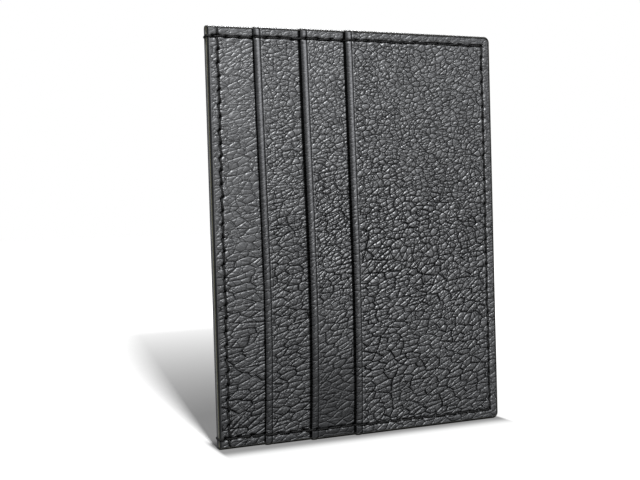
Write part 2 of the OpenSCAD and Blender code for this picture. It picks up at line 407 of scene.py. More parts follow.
def bow(v, layer):
    """Sideways bow of a lip: its lean, and half a sine wave whose crest lies below the middle."""
    t = np.clip(1 - v / HOLDER_H, 0, 1)
    return LIP_LEAN[layer] + LIP_BULGE[layer] * np.sin(np.pi * t**BULGE_POWER)


def lip_face(x, v, layer):
    """Outer height of a pocket at distance x behind its nose: the upper half of an elliptic roll,
    then the leather's flat top with a crease pressed in where the two meet."""
    crest = TOP[layer] + ROLL_RISE * squeeze(v)
    half_w = ROLL_W / 2
    tall = (crest - HEM_LOW[layer]) / 2
    arc = np.sqrt(np.clip(1 - ((x - half_w) / half_w) ** 2, 0, 1))
    roll = crest - tall + tall * arc
    flat = TOP[layer] - CREASE_DEEP * np.exp(-(((x - ROLL_W) / CREASE_WIDE) ** 2))
    flat = np.where(x > half_w, flat, 0)
    return np.where(x < ROLL_W, np.maximum(roll, flat), flat)


def nose_face(u):
    """Outer height of the panel's rounded mouth edge: a quarter of a squarish ellipse."""
    t = np.clip((NOSE_R - u) / NOSE_R, 0, 1)
    return NOSE_H + NOSE_R * (1 - t**NOSE_POWER) ** (1 / NOSE_POWER)


def layer_height(u, v, layer):
    """Outer height of one layer without its grain."""
    if layer == 0:
        face = nose_face(u)
    else:
        face = lip_face(u - LIP_U[layer] - bow(v, layer), v, layer)
    return face + swell(u, v, layer)


def top_height(u, v):
    """Outer height of the whole stack, which is that of the uppermost layer at (u, v)."""
    height = layer_height(u, v, 0)
    for layer in POCKETS:
        above = u > LIP_U[layer] + bow(v, layer)
        height = np.where(above, layer_height(u, v, layer), height)
    return height


# ------------------------------------------------------------------ meshes

def stand_up(u, v, h, side):
    """Frame coordinates, in millimetres, of points of a flat half."""
    y = -h if side == "front" else h
    return np.stack([u - HOLDER_W / 2, y, v], axis=-1)


def stations(*stretches):
    """Places along a line: each stretch is (start, end, longest step), and its end starts the next."""
    places = [np.array([stretches[0][0]])]
    for start, end, step in stretches:
        count = max(1, math.ceil((end - start) / step - 1e-6))
        places.append(np.linspace(start, end, count + 1)[1:])
    return np.concatenate(places)


def tube_faces(rings, size):
    """Quads between the rings of a closed tube, with size points in each ring, and its two end caps."""
    i = np.arange(rings - 1)[:, None] * size
    j = np.arange(size)[None, :]
    k = (j + 1) % size
    quads = np.stack([i + j, i + k, i + size + k, i + size + j], axis=-1).reshape(-1, 4)
    return quads, [np.arange(size)[::-1], np.arange(size) + (rings - 1) * size]


def outward(points, quads, caps):
    """Quads and caps turned so that they look outwards: where the volume that the quads enclose, a sum
    of triple products, is negative, each is wound the other way."""
    centred = points - points.mean(axis=0)
    a, b, c, d = (centred[quads[:, k]] for k in range(4))
    first = np.einsum("ij,ij->i", a, np.cross(b, c))
    second = np.einsum("ij,ij->i", a, np.cross(c, d))
    if (first + second).sum() < 0:
        return quads[:, ::-1], [cap[::-1] for cap in caps]
    return quads, caps


def make_piece(name, material, nodes, points, quads, caps, marks=None, uv=None):
    """A mesh object that stands in for CAD nodes, from points in millimetres, quads and end caps, with
    its marks as point attributes and its uv as a map."""
    quads, caps = outward(points, quads, caps)
    loops = np.concatenate([quads.reshape(-1), *caps]).astype(np.int32)
    sizes = np.concatenate([np.full(len(quads), 4), [len(cap) for cap in caps]]).astype(np.int32)
    starts = np.concatenate([[0], np.cumsum(sizes)[:-1]]).astype(np.int32)
    mesh = bpy.data.meshes.new(name)
    mesh.vertices.add(len(points))
    mesh.vertices.foreach_set("co", (points * MM).astype(np.float32).reshape(-1))
    mesh.loops.add(len(loops))
    mesh.loops.foreach_set("vertex_index", loops)
    mesh.polygons.add(len(sizes))
    mesh.polygons.foreach_set("loop_start", starts)
    mesh.polygons.foreach_set("use_smooth", sizes == 4)
    for mark, values in (marks or {}).items():
        kind, field = ("FLOAT_VECTOR", "vector") if values.ndim == 3 else ("FLOAT", "value")
        attribute = mesh.attributes.new(mark, kind, "POINT")
        attribute.data.foreach_set(field, values.astype(np.float32).reshape(-1))
    if uv is not None:
        layer = mesh.uv_layers.new(name="length")
        layer.data.foreach_set("uv", uv[loops].astype(np.float32).reshape(-1))
    mesh.update(calc_edges=True)
    mesh.validate()
    mesh.materials.append(material)
    piece = bpy.data.objects.new(name, mesh)
    bpy.context.scene.collection.objects.link(piece)
    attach(piece, "root")
    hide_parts(*nodes)


# ------------------------------------------------------------------ leather layers

# Longest steps of the mesh, in millimetres: over the open leather of each layer, over a nose or roll, up
# to the mouth seam, near the ends of the long side, at the closed edge, under the next lip, farther
# under it, and at the hidden round corners
OPEN_STEP_U = {0: 0.18, 1: 0.18, 2: 0.18, 3: 0.29}
OPEN_STEP_V = {0: 0.18, 1: 0.18, 2: 0.18, 3: 0.205}
ROLL_STEP = 0.11
MOUTH_STEP = 0.12
END_STEP = 0.14
CLOSED_STEP = 0.125
TUCKED_STEP = 1
COVERED_STEP = 12
CORNER_STEP = 0.75
# How far each of these steps reaches
LIP_ZONE = 2.6
NOSE_ZONE = 1.5
MOUTH_ZONE = 3.5
END_ZONE = 4.2
CLOSED_ZONE = 0.9
TUCKED_OPEN = 1.4
TUCKED_ZONE = 2
# Width at the closed edge that is drawn in at the round corners
CORNER_ZONE = 6

# The grain on a roll at its top end and what its bottom end adds, the grain between the panel's nose
# and the mouth seam, and how much of it is pressed flat along the edge seam, all as shares
ROLL_GRAIN = 0.22
ROLL_GRAIN_LOW = 0.25
MOUTH_GRAIN = 0.85
PRESSED_FLAT = 0.45
# How far behind the panel's edge and behind a roll the grain sets in, and the width over which it does
NOSE_BARE = 0.4
ROLL_BARE = 0.15
GRAIN_SOFT = 0.6
# All relief of a layer ends this far under the next lip, over this width
RELIEF_END = 0.35
RELIEF_SOFT = 0.5

# Painted shade on the leather, from 0 to 1, which darkens its colour and takes its coat away: on the
# margin outside the edge seam, on each layer and each lip near the bottom, in the middle and near the
# top, where it is darker towards the bottom, and on a lip's sides
MARGIN_SHADE = 0.28
MARGIN_SOFT = 0.6
LAYER_SHADE = {0: (0.57, 0.32, 0.26), 1: (0.55, 0.37, 0.14), 2: (0.66, 0.1, 0.0), 3: (0.42, 0.03, 0.0)}
LIP_HEIGHTS = (0.1 * HOLDER_H, 0.5 * HOLDER_H, 0.9 * HOLDER_H)
LIP_SHADE = {1: (0.62, 0.4, 0.12), 2: (0.6, 0.24, 0.05), 3: (0.58, 0.2, 0.05)}
LIP_SIDES_SHADE = 0.7
LIP_SOFT = 0.2
# A painted highlight lies along a lip's crest, brighter towards the top: its place and half width as
# shares of the roll
HIGHLIGHT_HEIGHTS = (0.2 * HOLDER_H, 0.5 * HOLDER_H, 0.85 * HOLDER_H)
HIGHLIGHT_SHARES = (0.0, 0.35, 0.75)
CREST_AT = 0.58
CREST_W = 0.24
# Dark lines: half width of the one behind each lip, painted shade in its crease, half width, place and
# depth of the one at the mouth edge, width and darkness of the one at the cut edges, width of the one in
# front of each lip, painted shade where the gap to the layer below shows, and the width of their blurred
# ends
LIP_LINE_W = 0.23
MOUTH_LINE_W = 0.14
MOUTH_LINE_U = 0.34
MOUTH_LINE_DEEP = 0.05
EDGE_LINE_W = 0.5
EDGE_LINE_DARK = 0.9
GAP_SHADE_W = {1: 0.36, 2: 0.66, 3: 0.62}
LINE_SOFT = 0.16
# A roll's nose is painted black as shade up to this share of its height
NOSE_SHADE = 0.6
NOSE_SHADE_SOFT = 0.25
# Width of a seam's painted shade as a share of its groove: of the edge seam, what its top row adds, which
# is found in the uppermost millimetres, and of the mouth seam, whose groove is a little shallower
EDGE_SHADE_W = 1.1
TOP_SHADE_W = 0.3
TOP_ROW = 6
TOP_ROW_SOFT = 2
MOUTH_SHADE_W = 1.3
MOUTH_GROOVE = 0.8
# The edge seam's groove starts at the tacks, over this width
TACK_SOFT = 0.5
# The front's mouth edge has a light olive tone up to this height and the back's is painted black, a lit
# and a shaded copy of one edge, so the olive is partly painted light. How dark the painted shade of the
# mouth edge is where the olive lies and elsewhere
OLIVE_EDGE_H = 1.05
OLIVE_EDGE_SOFT = 0.12
OLIVE_EDGE_SHADE = 0.2
MOUTH_EDGE_SHADE = 0.95


def row_places(layer):
    """Places of the mesh rows along the long side, closer together near its ends."""
    low = CUT_V[0] + END_ZONE
    high = CUT_V[1] - END_ZONE
    between = (low, high, OPEN_STEP_V[layer])
    return stations((CUT_V[0], low, END_STEP), between, (high, CUT_V[1], END_STEP))


def face_places(layer):
    """Places of the mesh columns over the outer face, closer together at the layer's front and at the
    closed edge, and far apart where the next layer covers it."""
    if layer == 0:
        front = [(NOSE_R, NOSE_ZONE, ROLL_STEP), (NOSE_ZONE, MOUTH_ZONE, MOUTH_STEP)]
    else:
        front = [(START[layer] + FRONT_R[layer], START[layer] + LIP_ZONE, ROLL_STEP)]
    open_from = front[-1][1]
    if layer == LAST:
        closed = SEAM_U - CLOSED_ZONE
        return stations(*front, (open_from, closed, OPEN_STEP_U[layer]), (closed, CUT_U, CLOSED_STEP))
    tucked = LIP_U[layer + 1] + TUCKED_OPEN
    covered = tucked + TUCKED_ZONE
    corners = CUT_U - CORNER_ZONE
    return stations(
        *front, (open_from, tucked, OPEN_STEP_U[layer]), (tucked, covered, TUCKED_STEP),
        (covered, corners, COVERED_STEP), (corners, CUT_U, CORNER_STEP),
    )


def turned_front(layer, v):
    """The front of a layer, from its hem round to its outer face: half an ellipse for a rolled lip, and
    half a squarish one for the panel's nose. Returns its places and heights."""
    turn = np.linspace(-90, -270, 27)[:-1] * math.pi / 180
    if layer == 0:
        reach_u = np.sign(np.cos(turn)) * np.abs(np.cos(turn)) ** (2 / NOSE_POWER)
        reach_h = np.sign(np.sin(turn)) * np.abs(np.sin(turn)) ** (2 / NOSE_POWER)
        return NOSE_R + NOSE_R * reach_u + 0 * v, NOSE_H + NOSE_R * reach_h + 0 * v
    tall = (TOP[layer] + ROLL_RISE * squeeze(v) - HEM_LOW[layer]) / 2
    reach_u = START[layer] + FRONT_R[layer] + FRONT_R[layer] * np.cos(turn) + 0 * v
    return reach_u, HEM_LOW[layer] + tall + tall * np.sin(turn)


def grain_share(layer, behind, away, v):
    """How much of the grain shows: little on a nose or roll, all of it farther behind, and less along
    the edge seam, by a bell curve. behind is the distance from the layer's front, and away the distance
    from the edge seam."""
    if layer == 0:
        past_seam = ease((behind - MOUTH_SEAM_U) / GRAIN_SOFT)
        share = ease((behind - NOSE_BARE) / GRAIN_SOFT) * (MOUTH_GRAIN + (1 - MOUTH_GRAIN) * past_seam)
    else:
        on_roll = ROLL_GRAIN + ROLL_GRAIN_LOW * ease(1 - v / HOLDER_H)
        share = on_roll + (1 - on_roll) * ease((behind - ROLL_W - ROLL_BARE) / GRAIN_SOFT)
    return share * (1 - PRESSED_FLAT * np.exp(-(np.maximum(away, 0) ** 2)))


def seam_marks(layer, u, h, away, count, v, salt):
    """Relief and painted shade of the seams on a layer: the edge seam's groove from the tacks on, with
    painted shade in it and on the margin outside it, and on the panel the mouth seam's groove with its
    painted shade and a dark line at the mouth edge."""
    near_top = ease((v - HOLDER_H + TOP_ROW) / TOP_ROW_SOFT)
    relief, shade = groove(away, count, salt + 20, shade_w=EDGE_SHADE_W + TOP_SHADE_W * near_top)
    stitched = ease((u - TACK_REACH + TACK_SOFT) / TACK_SOFT)
    relief = relief * stitched
    shade = np.maximum(shade * stitched, MARGIN_SHADE * ease(0.5 - away / MARGIN_SOFT))
    if layer == 0:
        mouth_count = (v - SEAM_V[0]) / LONG_PITCH + 0 * u
        mouth_away = u - MOUTH_SEAM_U
        cut, mouth_shade = groove(mouth_away, mouth_count, salt + 30, MOUTH_SLANT, MOUTH_SHADE_W)
        line = np.exp(-(((u - MOUTH_LINE_U) / MOUTH_LINE_W) ** 2)) * (h > NOSE_H)
        relief = relief + MOUTH_GROOVE * cut - MOUTH_LINE_DEEP * line
        shade = np.maximum(np.maximum(shade, mouth_shade), line)
    return relief, shade


def lip_marks(layer, behind, v):
    """Painted shade and painted highlight of a rolled lip: shade in the crease behind it, shade that is
    darker towards the bottom and on its sides, and a highlight along its crest."""
    line = np.exp(-(((behind - ROLL_W) / LIP_LINE_W) ** 2))
    crest = np.exp(-(((behind / ROLL_W - CREST_AT) / CREST_W) ** 2))
    shade_floor = np.interp(v, LIP_HEIGHTS, LIP_SHADE[layer])
    painted_shade = (shade_floor + (LIP_SIDES_SHADE - shade_floor) * (1 - crest)) * ease(0.5 - (behind - ROLL_W) / LIP_SOFT)
    return np.maximum(line, painted_shade), crest**1.5 * np.interp(v, HIGHLIGHT_HEIGHTS, HIGHLIGHT_SHARES)


def mouth_edge_tone(side, u, h):
    """The olive tone of the front's mouth edge, which is partly painted light, and the painted shade of
    the mouth edge, which is lighter where the olive lies."""
    at_edge = ease((MOUTH_LINE_U - u) / OLIVE_EDGE_SOFT)
    olive = ease((OLIVE_EDGE_H - h) / OLIVE_EDGE_SOFT) * (side == "front")
    return at_edge * olive, at_edge * (MOUTH_EDGE_SHADE - (MOUTH_EDGE_SHADE - OLIVE_EDGE_SHADE) * olive)


def plain_profile(layer, v):
    """The outer profile of a layer at each row, without relief: its turned front, then its face, which
    follows the bow of its lip for a while. Returns places, heights, how much relief there is, and its
    painted shade: relief ends under the next lip, and the gap beside that lip and the lower half of a
    roll's nose are painted black as shade."""
    open_from = START[layer] + FRONT_R[layer]
    shift = bow(v, layer)
    turn_u, turn_h = turned_front(layer, v)
    lift = np.clip((turn_h - HEM_LOW[layer]) / (TOP[layer] - HEM_LOW[layer]), 0, 1)
    turn_h = turn_h + lift * swell(open_from + 0 * v, v, layer)
    nose_shade = ease((NOSE_SHADE - lift) / NOSE_SHADE_SOFT) if layer else 0 * lift
    flat_u = face_places(layer) + 0 * v
    face_u = flat_u + shift * ease(1 - (flat_u - open_from - BOW_HOLDS) / BOW_FADES)
    face_h = layer_height(face_u, v, layer)
    full = 1 + 0 * flat_u
    black = 0 * flat_u
    if layer != LAST:
        next_lip = LIP_U[layer + 1] + bow(v, layer + 1)
        face_h = np.where(flat_u > LIP_U[layer + 1] + TUCKED_OPEN, TOP[layer] + 0 * v, face_h)
        full = ease((next_lip + RELIEF_END - flat_u) / RELIEF_SOFT)
        black = ease((face_u - next_lip + GAP_SHADE_W[layer + 1]) / LINE_SOFT)
    pairs = ((turn_u + shift, face_u), (turn_h, face_h), (lift, full), (nose_shade, black))
    return (np.concatenate(pair, axis=1) for pair in pairs)


def corner_reach(v):
    """Where the leather is cut at each row: a quarter of a circle at both ends of the closed edge."""
    inside = np.minimum(v - CUT_V[0], CUT_V[1] - v)
    sunk = np.clip(CUT_R - inside, 0, CUT_R)
    return CUT_U - CUT_R + np.sqrt(CUT_R**2 - sunk**2)


def leather_shell(side, layer, material):
    """One leather layer as a closed surface: the profile across the holder, carried along the long
    side. The profile runs along the underside to the mouth, round the nose or the rolled lip, over
    the grained outer face to the closed edge and back. Grain, seam grooves and the rounding of the
    cut edges are added to the outer face, and the closed corners are drawn in to their arc."""
    salt = 100 * (layer + 1) + (0 if side == "front" else 5000)
    v = row_places(layer)[:, None]
    u, h, full, black = plain_profile(layer, v)

    # Relief of the grain and the seams
    behind = u - START[layer] - bow(v, layer)
    inside = edge_inside(u, v)
    away, count = seam_place(u, v + 0 * u)
    place_x, place_y = grain_place(u, v + 0 * u, layer, salt)
    cuts = grain_cuts(u, v + 0 * u, layer, salt)
    share = grain_share(layer, behind, away, v)
    seam_relief, shade = seam_marks(layer, u, h, away, count, v, salt)
    relief = grain(place_x, place_y, cuts, layer) * share + seam_relief
    h = h + relief * full - rounding(inside) * full

    # Painted shade on each layer, darker towards the bottom, and along the cut edges, and the painted
    # light and shade of the mouth edge and the lips
    shade = np.maximum(shade, np.interp(v, GRAIN_HEIGHTS, LAYER_SHADE[layer]))
    shade = np.maximum(shade, EDGE_LINE_DARK * ease((EDGE_LINE_W - inside) / LINE_SOFT))
    painted_highlight = 0 * u
    olive_lit_edge = 0 * u
    if layer == 0:
        olive_lit_edge, front_shade = mouth_edge_tone(side, u, h)
    else:
        front_shade, painted_highlight = lip_marks(layer, behind, v)
    shade = np.maximum(np.maximum(shade, front_shade) * full, black)

    # The underside comes before the outer face and has no marks. Its hem ends in a short slope
    drawn_from = CUT_U - CORNER_ZONE
    open_from = START[layer] + FRONT_R[layer] + 0.3
    under_u = np.array([CUT_U, drawn_from, HEM_END[layer] + 0.3, HEM_END[layer], open_from])
    under_h = np.array([UNDER[layer], UNDER[layer], UNDER[layer], HEM_LOW[layer], HEM_LOW[layer]])
    bare = 0 * under_u + 0 * v

    def marked(values):
        """The values of the outer face after those of the underside."""
        return np.concatenate([bare, values], axis=1)

    size = marked(0 * u) + pebble_size(layer)
    marks = {
        "groove": marked(shade),
        "olive_lit_edge": marked(olive_lit_edge),
        "crest_highlight": marked(painted_highlight),
        "grain_place": np.stack([marked(place_x), marked(place_y), size], axis=-1),
        "grain_cuts": np.stack([marked(cuts[name] * share * full) for name in NETWORKS], axis=-1),
    }

    all_u = np.concatenate([under_u + 0 * v, u], axis=1)
    all_h = np.concatenate([under_h + 0 * v, h], axis=1)
    drawn = (corner_reach(v) - drawn_from) / CORNER_ZONE
    all_u = np.where(all_u > drawn_from, drawn_from + (all_u - drawn_from) * drawn, all_u)
    points = stand_up(all_u, v + 0 * all_u, all_h, side).reshape(-1, 3)
    quads, caps = tube_faces(*all_u.shape)
    node = f"{side}_panel" if layer == 0 else f"{side}_pocket_{layer}"
    make_piece(f"{node}_leather", material, [node], points, quads, caps, marks)


# ------------------------------------------------------------------ threads

# Radius of a run of thread at its ends, as a share of the thread's
THREAD_TIP = 0.55
# A stitch: how far it sways across its row, lies below the leather's surface and arches up in its
# middle, and how deep its ends dip into the needle holes, over which share of its length
STITCH_SWAY = 0.04
STITCH_SUNK = 0.10
STITCH_ARCH = 0.03
STITCH_DIP = 0.42
DIP_SHARE = 0.07
# A tack's turns of thread: how far they lie off the nose and apart, cross and sway, and how deep their
# ends dip, over which length
TACK_CLEAR = 0.05
TACK_PITCH = 0.34
TACK_CROSS = 0.132
TACK_SWAY = 0.08
TACK_DIP = 0.45
TACK_DIP_W = 0.35


def thread_run(points, sides=7):
    """A closed tube round a line of points: rings at right angles to the line, drawn in at both ends.
    Returns its points, quads, end caps and uv, with u round the thread and v along it in mm."""
    along = np.gradient(points, axis=0)
    along = along / np.linalg.norm(along, axis=1)[:, None]
    # The rings start from a direction that the line doesn't take
    level = abs(along[len(along) // 2][2]) < 0.8
    guide = np.array([0.31, 0.27, 0.91]) if level else np.array([0.2, 0.97, 0.1])
    first = np.cross(along, guide)
    first = first / np.linalg.norm(first, axis=1)[:, None]
    second = np.cross(along, first)
    angle = np.linspace(0, 2 * math.pi, sides, endpoint=False)
    size = np.full(len(points), THREAD_D / 2)
    size[[0, -1]] *= THREAD_TIP
    ring = first[:, None, :] * np.cos(angle)[:, None] + second[:, None, :] * np.sin(angle)[:, None]
    tube = points[:, None, :] + ring * size[:, None, None]
    length = np.concatenate([[0], np.cumsum(np.linalg.norm(np.diff(points, axis=0), axis=1))])
    uv = np.stack(np.broadcast_arrays(angle[None, :] / (2 * math.pi), length[:, None]), axis=-1)
    return tube.reshape(-1, 3), *tube_faces(len(points), sides), uv.reshape(-1, 2)


def join_runs(name, runs, material, node):
    """Many thread runs as one piece that stands in for a seam node."""
    all_points, all_quads, all_caps, all_uv = [], [], [], []
    offset = 0
    for points, quads, caps, uv in runs:
        quads, caps = outward(points, quads, caps)
        all_points.append(points)
        all_quads.append(quads + offset)
        all_caps.extend(cap + offset for cap in caps)
        all_uv.append(uv)
        offset += len(points)
    points = np.concatenate(all_points)
    quads = np.concatenate(all_quads)
    make_piece(name, material, [node], points, quads, all_caps, uv=np.concatenate(all_uv))


def stitch(start, end, side, chance, slant):
    """One stitch from needle hole to needle hole: it rises out of the first hole, lies in its groove
    and dips into the next, each dip fading exponentially. slant turns it a little across the row."""
    t = np.linspace(0, 1, 9)
    u = start[0] + (end[0] - start[0]) * t
    v = start[1] + (end[1] - start[1]) * t
    run = np.array([end[0] - start[0], end[1] - start[1]])
    run = run / np.linalg.norm(run)
    sway = slant * (t - 0.5) * 2 + STITCH_SWAY * (chance - 0.5)
    u = u - run[1] * sway
    v = v + run[0] * sway
    surface = top_height(u, v)
    chord = surface[0] + (surface[-1] - surface[0]) * t
    high = np.maximum(surface, chord) - STITCH_SUNK + STITCH_ARCH * np.sin(math.pi * t)
    h = high - STITCH_DIP * (np.exp(-t / DIP_SHARE) + np.exp(-(1 - t) / DIP_SHARE))
    return stand_up(u, v, h, side)


def sew(seam, side, ends, slant, seed, material):
    """The thread of a seam: a stitch between each pair of ends."""
    random = np.random.default_rng(seed)
    runs = [thread_run(stitch(start, end, side, random.random(), slant)) for start, end in ends]
    join_runs(f"{side}_{seam}_thread", runs, material, f"{side}_{seam}")


def edge_seam(side, material):
    """The thread of the edge seam: stitches along both short sides and the closed edge."""
    ends = []
    for v in SEAM_V:
        for k in range(SHORT_COUNT):
            near = SEAM_START + k * SHORT_PITCH + STITCH_INSET
            far = SEAM_START + (k + 1) * SHORT_PITCH - STITCH_INSET
            ends.append(((near, v), (far, v)))
    for k in range(LONG_COUNT):
        low = SEAM_V[0] + k * LONG_PITCH + STITCH_INSET
        high = SEAM_V[0] + (k + 1) * LONG_PITCH - STITCH_INSET
        ends.append(((SEAM_U, high), (SEAM_U, low)))
    sew("edge_seam", side, ends, EDGE_SLANT, 11 if side == "front" else 12, material)


def mouth_seam(side, material):
    """The thread of the mouth seam: one row of slanted stitches, with a short one at each end."""
    holes = [SEAM_V[0] + k * LONG_PITCH for k in range(LONG_COUNT)] + [SEAM_V[1]]
    holes = [CUT_V[0] + 0.1, *holes, CUT_V[1] - 0.1]
    ends = [
        ((MOUTH_SEAM_U, high - STITCH_INSET), (MOUTH_SEAM_U, low + STITCH_INSET))
        for low, high in zip(holes[:-1], holes[1:])
    ]
    sew("mouth_seam", side, ends, MOUTH_SLANT, 21 if side == "front" else 22, material)


def mouth_tacks(material):
    """The tacks at both ends of the mouth: turns of thread that lie on the front face, pass round the
    mouth edges and lie on the back face, a little crossed. A turn is straight between the faces, a
    quarter circle round each mouth edge, and straight again."""
    random = np.random.default_rng(31)
    bend_r = NOSE_R + TACK_CLEAR
    bend = math.pi / 2 * bend_r
    flat = TACK_REACH - NOSE_R
    t = np.linspace(-1, 1, 27)
    travel = np.abs(t) * (NOSE_H + bend + flat)
    angle = np.clip((travel - NOSE_H) / bend_r, 0, math.pi / 2)
    past = np.maximum(travel - NOSE_H - bend, 0)
    u = NOSE_R - bend_r * np.cos(angle) + past - TACK_CLEAR / 2
    h = np.minimum(travel, NOSE_H) + bend_r * np.sin(angle)
    h = h - TACK_DIP * ease((past - flat + TACK_DIP_W) / TACK_DIP_W)
    runs = []
    for v in SEAM_V:
        for k in (-0.5, 0.5):
            sway = TACK_SWAY * np.sin(5 * t + 6 * random.random())
            place = v + TACK_PITCH * k - TACK_CROSS * k * np.cos(math.pi * t / 2) + sway
            line = np.stack([u - HOLDER_W / 2, np.where(t < 0, -h, h), place], axis=-1)
            runs.append(thread_run(line, sides=8))
    join_runs("mouth_tack_thread", runs, material, "mouth_tacks")


# ------------------------------------------------------------------ painted edge

# Angles of the points on a quarter of the bead, how far it bulges past the leather, how deep its layer
# lines and its unevenness are, and how far its back lies behind the cut edge
BEAD_TURNS = np.radians([72, 64, 54, 42, 30, 18, 6])
BEAD_FULL = 0.035
BEAD_LINE = 0.03
BEAD_ROUGH = 0.03
BEAD_BACK = 0.25
# Longest steps of the mesh along the edge: at the mouth, past each lip, round the corners and elsewhere,
# and how far the fine steps reach at the mouth, before a lip and behind it
BEAD_MOUTH_STEP = 0.1
BEAD_LIP_STEP = 0.12
BEAD_TURN_STEP = 0.14
BEAD_STEP = 0.5
BEAD_MOUTH_ZONE = 1.2
BEAD_LIP_ZONE = (0.8, 2.6)


def paint_outline():
    """The outline that the paint follows, from one mouth end round the closed side to the other: its
    points (u, v) and the outward direction at each."""
    reach_u = HOLDER_W - CORNER_R
    stretches = [(0.0, BEAD_MOUTH_ZONE, BEAD_MOUTH_STEP)]
    for layer in POCKETS:
        before = LIP_U[layer] - BEAD_LIP_ZONE[0]
        stretches.append((stretches[-1][1], before, BEAD_STEP))
        stretches.append((before, LIP_U[layer] + BEAD_LIP_ZONE[1], BEAD_LIP_STEP))
    stretches.append((stretches[-1][1], reach_u, BEAD_STEP))
    straight = stations(*stretches)
    turn = stations((0, math.pi / 2, BEAD_TURN_STEP))[1:-1]
    side = stations((CORNER_R, HOLDER_H - CORNER_R, BEAD_STEP))
    none = 0 * straight
    u = [straight, reach_u + CORNER_R * np.sin(turn), 0 * side + HOLDER_W,
         reach_u + CORNER_R * np.cos(turn), straight[::-1]]
    v = [none, CORNER_R * (1 - np.cos(turn)), side,
         HOLDER_H - CORNER_R * (1 - np.sin(turn)), none + HOLDER_H]
    out_u = [none, np.sin(turn), 0 * side + 1, np.cos(turn), none]
    out_v = [none - 1, -np.cos(turn), 0 * side, np.sin(turn), none + 1]
    return (np.concatenate(runs) for runs in (u, v, out_u, out_v))


def paint_section(height, travel):
    """Depths inwards from the outline and heights of the bead, one row for each point of its section.
    Its front half is a skirt on the leather, an elliptic quarter, and a nearly flat side in which
    faint lines mark the layers. The back half mirrors it, and two points behind the leather's cut
    edge close it."""
    round_r = np.minimum(ROUND_R, height * 0.45)
    depth = [PAINT_T + round_r * 0.75]
    level = [height - round_r * 0.45]
    for angle in BEAD_TURNS:
        depth.append(PAINT_T + round_r - (round_r + PAINT_T) * np.cos(angle))
        level.append(height - round_r + (round_r + BEAD_FULL) * np.sin(angle))
    for share in np.linspace(1, 0, 15)[1:-1]:
        h = (height - round_r) * share
        lines = sum(np.exp(-(((h - TOP[layer] + POCKET_T) / 0.12) ** 2)) for layer in (0, *POCKETS))
        uneven = noise(travel / 2.1, h * 1.4, 77) - 0.5
        depth.append(0.015 + BEAD_LINE * np.clip(lines, 0, 1) + BEAD_ROUGH * np.abs(uneven))
        level.append(h)
    depth.append(0.02 + 0 * height)
    level.append(0 * height)
    inner = 0 * height + PAINT_T + BEAD_BACK
    inner_level = 0.8 * (height - round_r)
    mirrored = [-h for h in level[-2::-1]]
    depth = depth + depth[-2::-1] + [inner, inner]
    level = level + mirrored + [-inner_level, inner_level]
    return np.array(depth), np.array(level)


def painted_edge(material):
    """The painted edge as one bead round the two short sides and the closed side: its section is
    carried along the outline, and its height follows the stack of layers."""
    u, v, out_u, out_v = paint_outline()
    height = top_height(u - out_u * 0.5, v - out_v * 0.5)
    travel = np.concatenate([[0], np.cumsum(np.hypot(np.diff(u), np.diff(v)))])
    depth, level = paint_section(height, travel)
    points = stand_up(u - out_u * depth, v - out_v * depth, level, "front")
    points = points.transpose(1, 0, 2).reshape(-1, 3)
    nodes = ["edge_coat_top", "edge_coat_bottom", "edge_coat_closed"]
    quads, caps = tube_faces(len(u), len(depth))
    make_piece("painted_edge", material, nodes, points, quads, caps)


# ------------------------------------------------------------------ materials

class Nodes:
    """Short hand for adding nodes to a tree. A value that is given may also be a socket to link."""

    def __init__(self, tree):
        self.tree = tree

    def add(self, kind, values=None, **settings):
        """A new node of that kind, with the values of its sockets and its other settings."""
        node = self.tree.nodes.new(kind)
        for key, value in settings.items():
            setattr(node, key, value)
        for key, value in (values or {}).items():
            self.put(node.inputs[key], value)
        return node

    def put(self, socket, value):
        """Link a socket to another, or give it a value."""
        if isinstance(value, bpy.types.NodeSocket):
            self.tree.links.new(value, socket)
        else:
            socket.default_value = value

    def math(self, operation, a, b=0.0, clamp=False):
        """The result of a sum or function of a and b."""
        node = self.tree.nodes.new("ShaderNodeMath")
        node.operation = operation
        node.use_clamp = clamp
        self.put(node.inputs[0], a)
        self.put(node.inputs[1], b)
        return node.outputs[0]

    def times(self, a, b, clamp=False):
        return self.math("MULTIPLY", a, b, clamp)

    def ramp(self, value, low, high, to_low=0.0, to_high=1.0):
        """A value between low and high, carried over to between to_low and to_high and held there."""
        node = self.tree.nodes.new("ShaderNodeMapRange")
        self.put(node.inputs["Value"], value)
        node.inputs["From Min"].default_value = low
        node.inputs["From Max"].default_value = high
        self.put(node.inputs["To Min"], to_low)
        self.put(node.inputs["To Max"], to_high)
        return node.outputs["Result"]

    def blend(self, factor, a, b):
        """Colour a where the factor is 0, and b where it is 1."""
        node = self.tree.nodes.new("ShaderNodeMix")
        node.data_type = "RGBA"
        self.put(node.inputs["Factor"], factor)
        for key, colour in (("A", a), ("B", b)):
            self.put(node.inputs[key], (*colour, 1) if isinstance(colour, tuple) else colour)
        return node.outputs["Result"]

    def mark(self, name):
        """What a mesh's points are marked with."""
        return self.add("ShaderNodeAttribute", attribute_name=name)

    def noise(self, where, scale, detail):
        return self.add("ShaderNodeTexNoise", {"Vector": where, "Scale": scale, "Detail": detail})

    def bump(self, height, strength, distance):
        values = {"Height": height, "Strength": strength, "Distance": distance}
        return self.add("ShaderNodeBump", values).outputs["Normal"]

    def white_seen(self):
        """How much a ray sees of a white that glows: all of it for the camera and through glass, a
        share of it in a gloss, and nothing for the light that it would give. Also the camera's mask."""
        path = self.add("ShaderNodeLightPath")
        seen = self.math("MAXIMUM", path.outputs["Is Camera Ray"], path.outputs["Is Transmission Ray"])
        gloss = self.times(path.outputs["Is Glossy Ray"], GLOSS_SHARE)
        return self.math("MAXIMUM", seen, gloss), path.outputs["Is Camera Ray"]


